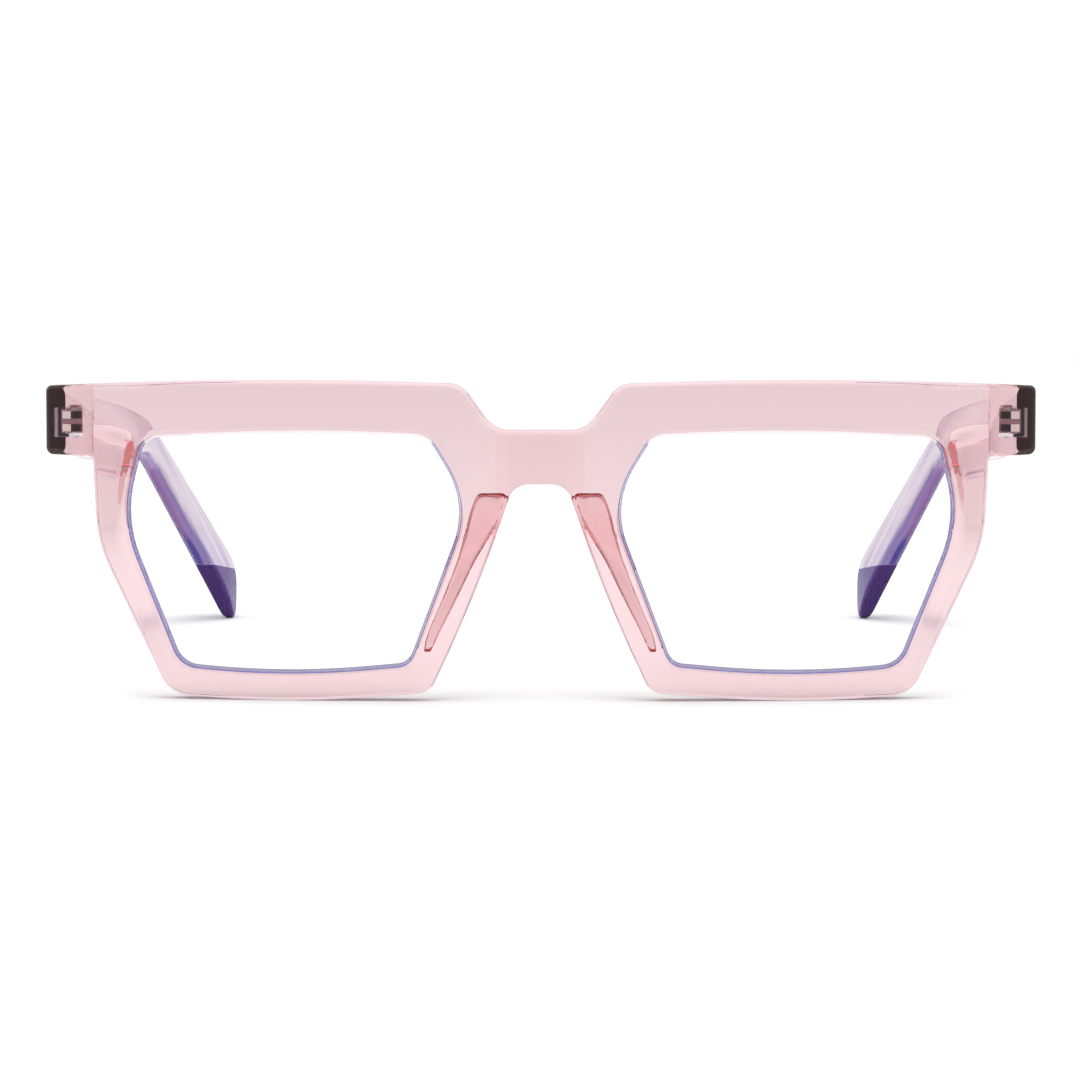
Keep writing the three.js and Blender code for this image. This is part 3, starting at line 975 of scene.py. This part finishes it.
def grained_metal(name, roughness, metallic=1.0):
    """Metal with a fine grain in its surface, still without a colour."""
    material, tree, principled, _ = new_material(name)
    principled.inputs["Metallic"].default_value = metallic
    grain = noise(tree, METAL_GRAIN["scale"])
    roughen(tree, principled, grain, roughness)
    bump = tree.nodes.new("ShaderNodeBump")
    bump.inputs["Distance"].default_value = METAL_GRAIN["bump_m"]
    bump.inputs["Strength"].default_value = METAL_GRAIN["bump_strength"]
    tree.links.new(grain, bump.inputs["Height"])
    tree.links.new(bump.outputs["Normal"], principled.inputs["Normal"])
    return material, tree, principled, grain


def metal(name, colour, roughness):
    material, tree, principled, grain = grained_metal(name, roughness)
    darkest = [METAL_GRAIN["darkest"] * channel for channel in colour]
    shades = colour_ramp(tree, grain, [(0, darkest), (1, colour)])
    tree.links.new(shades, principled.inputs["Base Color"])
    return material


# The front leaf's colours: a painted dark reflection on the anchors' inward slopes, the plate's own
# colour, and a painted highlight on the outward slopes; and the outward tilts between which each of
# the last two takes over.
ANCHOR_PLATE_AND_PAINTED_REFLECTIONS = {"dark": (0.05, 0.010, 0.028), "plate": (0.78, 0.45, 0.48), "light": (1.0, 0.90, 0.82)}
ANCHOR_TILT = {"plate": (-0.3, -0.2), "light": (0.2, 0.3)}
ANCHOR_ROUGHNESS = (0.08, 0.14)
ANCHOR_METALLIC = 0.8


def anchor_metal():
    """The front leaf: polished anchors in a rosy plate, each with a painted highlight on the slope
    that faces outwards and a painted dark reflection on the one that faces inwards.
    """
    material, tree, principled, _ = grained_metal("anchor_metal", ANCHOR_ROUGHNESS, ANCHOR_METALLIC)
    surface = tree.nodes.new("ShaderNodeNewGeometry")
    facing = parts_of(tree, surface.outputs["Normal"])["X"]
    hand = worked_out(tree, MATHS, "SIGN", parts_of(tree, surface.outputs["Position"])["X"])
    outwards = worked_out(tree, MATHS, "MULTIPLY", facing, hand)
    # painted highlight on outward slopes, painted dark reflection on inward ones
    painted_highlight = ranged(tree, outwards, ANCHOR_TILT["light"])
    with_painted_highlight = mix_colours(tree, painted_highlight, ANCHOR_PLATE_AND_PAINTED_REFLECTIONS["plate"], ANCHOR_PLATE_AND_PAINTED_REFLECTIONS["light"])
    past_painted_dark = ranged(tree, outwards, ANCHOR_TILT["plate"])
    colour = mix_colours(tree, past_painted_dark, ANCHOR_PLATE_AND_PAINTED_REFLECTIONS["dark"], with_painted_highlight)
    tree.links.new(colour, principled.inputs["Base Color"])
    return material


# ---- Pieces -----------------------------------------------------------------------------------

NICKEL_SILVER = (0.86, 0.78, 0.70)
STEEL = (0.78, 0.76, 0.74)
BLUED_STEEL = (0.32, 0.30, 0.45)

pink = clear_acetate()
lilac = layered_acetate()
resin = lens_resin()
purple = solid_acetate()
CAD_MATERIALS = {
    "hinge_temple_leaf": metal("hinge_metal", NICKEL_SILVER, (0.2, 0.35)),
    "hinge_front_leaf": anchor_metal(),
    "hinge_screw": metal("screw_steel", STEEL, (0.15, 0.3)),
    "core_wire": metal("wire_steel", BLUED_STEEL, (0.3, 0.45)),
}

front = add_piece(
    build_front(), "front_with_pads", "front", "pink_acetate",
    "front_frame", "nose_pad_left", "nose_pad_right",
)
sharpen(front, SHARP)
give_material(front, pink)

for side, hand in ((1, "left"), (-1, "right")):
    body = f"{hand}_temple"
    lens = build_lens(side)
    lens = add_piece(lens, f"lens_shaped_{hand}", "front", "coated_lens", f"lens_{hand}")
    sharpen(lens, LENS_SHARP)
    give_material(lens, resin)
    arm = build_temple_half(False)
    tip = build_temple_half(True)
    if side < 0:
        mirror(arm)
        mirror(tip)
    arm = add_piece(arm, f"temple_arm_{hand}", body, "lilac_acetate", f"temple_{hand}")
    tip = add_piece(tip, f"temple_end_{hand}", body, "purple_acetate", f"temple_tip_{hand}")
    for made, material in ((arm, lilac), (tip, purple)):
        sharpen(made, SHARP)
        give_material(made, material)
    for node, material in CAD_MATERIALS.items():
        give_material(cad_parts[f"{node}_{hand}"], material)

# ---- Table, light and camera ------------------------------------------------------------------


TABLE = {"half": 3.0, "front": -0.42, "white": 0.96}
TABLE_CELLS = 8


def white_table():
    """A table whose front edge is just below the view, so that the lenses don't mirror it."""
    bm = bmesh.new()
    bmesh.ops.create_grid(bm, x_segments=TABLE_CELLS, y_segments=TABLE_CELLS, size=TABLE["half"])
    bmesh.ops.translate(bm, vec=(0, TABLE["front"] + TABLE["half"], 0), verts=bm.verts)
    table = as_object(bm, "table")
    material, _, principled, _ = new_material("white_table")
    principled.inputs["Base Color"].default_value = (*[TABLE["white"]] * 3, 1)
    principled.inputs["Roughness"].default_value = 1
    principled.inputs["Specular IOR Level"].default_value = 0
    give_material(table, material)


TOP_LIGHT = {"place": (0, -0.2, 1.1), "aim": (0, 0, 0.02), "size": 0.9, "power": 3.0}


def top_light():
    data = bpy.data.lights.new("top_light", "AREA")
    data.shape = "DISK"
    data.size = TOP_LIGHT["size"]
    data.energy = TOP_LIGHT["power"]
    light = bpy.data.objects.new("top_light", data)
    light.location = TOP_LIGHT["place"]
    beam = Vector(TOP_LIGHT["aim"]) - Vector(TOP_LIGHT["place"])
    light.rotation_euler = beam.to_track_quat("-Z", "Y").to_euler()
    bpy.context.scene.collection.objects.link(light)


BOUNCES = 32
SURROUND = 1.05
REFLECTED = {"front": 0.45, "below": 0.85, "above": 1.0, "sides": 0.95}
# Between which parts of a unit direction the reflected surround changes.
HORIZON = (-0.15, 0.15)
SIDES_START = (0.6, 0.85)
FRONT_ENDS = (-0.9, -0.75)


def reflected_surround(tree):
    """How bright the surround is in reflections: less below than above, though less so at the
    sides, and darkest at the front, where the camera is at rest."""
    coordinates = tree.nodes.new("ShaderNodeTexCoord")
    direction = parts_of(tree, coordinates.outputs["Generated"])
    upwards = ranged(tree, direction["Z"], HORIZON, (REFLECTED["below"], REFLECTED["above"]))
    outwards = worked_out(tree, MATHS, "ABSOLUTE", direction["X"])
    sides = ranged(tree, outwards, SIDES_START, (0, REFLECTED["sides"]))
    cloth = worked_out(tree, MATHS, "MAXIMUM", upwards, sides)
    frontal = ranged(tree, direction["Y"], FRONT_ENDS, (REFLECTED["front"], 1))
    return worked_out(tree, MATHS, "MULTIPLY", cloth, frontal)


def studio():
    """An even white surround, which reflections see as the darker one worked out above."""
    world = bpy.data.worlds.new("studio")
    world.use_nodes = True
    world.cycles.sampling_method = "NONE"
    tree = world.node_tree
    background = tree.nodes["Background"]
    background.inputs["Color"].default_value = (1, 1, 1, 1)
    path = tree.nodes.new("ShaderNodeLightPath").outputs
    is_reflection = worked_out(tree, MATHS, "SUBTRACT", path["Glossy Depth"], path["Diffuse Depth"])
    is_reflection.node.use_clamp = True
    strength = tree.nodes.new("ShaderNodeMix")
    strength.inputs["A"].default_value = SURROUND
    tree.links.new(is_reflection, strength.inputs["Factor"])
    tree.links.new(reflected_surround(tree), strength.inputs["B"])
    tree.links.new(strength.outputs["Result"], background.inputs["Strength"])
    scene = bpy.context.scene
    scene.world = world
    scene.view_settings.view_transform = "Standard"
    scene.cycles.max_bounces = BOUNCES
    scene.cycles.glossy_bounces = BOUNCES
    scene.cycles.transmission_bounces = BOUNCES


CAMERA = {"distance": 0.520, "height": 0.0564, "aside": 0.0043, "pitch": math.radians(3.66)}
FOCAL = 122.2


def camera():
    data = bpy.data.cameras.new("camera")
    data.lens = FOCAL
    data.sensor_width = 36
    data.clip_start = 0.01
    data.clip_end = 50
    made = bpy.data.objects.new("camera", data)
    made.location = (CAMERA["aside"], front_low.y - CAMERA["distance"], CAMERA["height"])
    yaw = math.atan2(CAMERA["aside"], CAMERA["distance"])
    made.rotation_euler = (math.pi / 2 - CAMERA["pitch"], 0, yaw)
    bpy.context.scene.collection.objects.link(made)
    bpy.context.scene.camera = made


white_table()
top_light()
studio()
camera()
